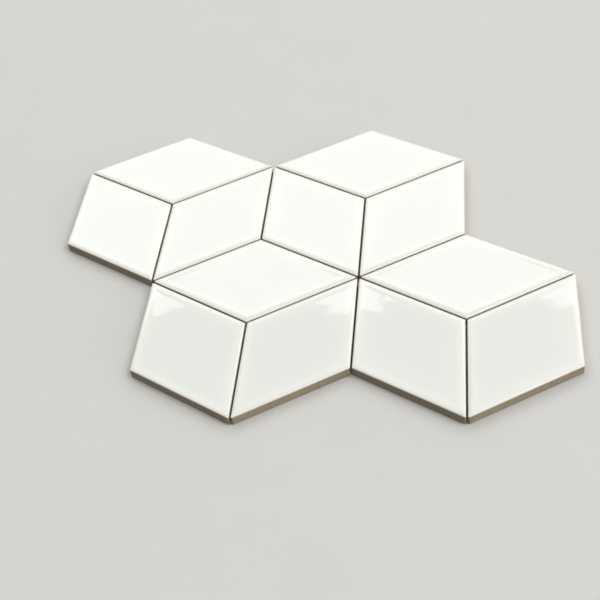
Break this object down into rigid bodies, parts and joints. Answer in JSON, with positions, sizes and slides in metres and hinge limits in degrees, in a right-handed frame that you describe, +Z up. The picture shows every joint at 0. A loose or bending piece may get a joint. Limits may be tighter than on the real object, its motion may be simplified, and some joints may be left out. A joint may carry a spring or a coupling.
{
  "type": "hexagon mosaic tile sheet",
  "caption": "Sheet of white gloss rhombus tiles with rolled edges, grouped in hexagons that read as cubes, on an open backing mesh, for cladding walls.",
  "frame": {"origin": "middle of the sheet's outline, on the underside of the backing mesh", "axes": "+X along the rows of hexagons, +Y towards the back row, +Z up through the glazed face"},
  "size_m": [0.2942, 0.2366, 0.0064],
  "materials": {
    "white_glazed_tile": "gloss",
    "glass_fibre_mesh": "matte"
  },
  "bodies": {
    "root": {"hexagon_a_top_tile": "white_glazed_tile", "hexagon_a_left_tile": "white_glazed_tile", "hexagon_a_right_tile": "white_glazed_tile", "backing_mesh_a": "glass_fibre_mesh", "hexagon_b_top_tile": "white_glazed_tile", "hexagon_b_left_tile": "white_glazed_tile", "hexagon_b_right_tile": "white_glazed_tile", "backing_mesh_b": "glass_fibre_mesh", "hexagon_c_top_tile": "white_glazed_tile", "hexagon_c_left_tile": "white_glazed_tile", "hexagon_c_right_tile": "white_glazed_tile", "backing_mesh_c": "glass_fibre_mesh", "hexagon_d_top_tile": "white_glazed_tile", "hexagon_d_left_tile": "white_glazed_tile", "hexagon_d_right_tile": "white_glazed_tile", "backing_mesh_d": "glass_fibre_mesh"}
  },
  "joints": []
}
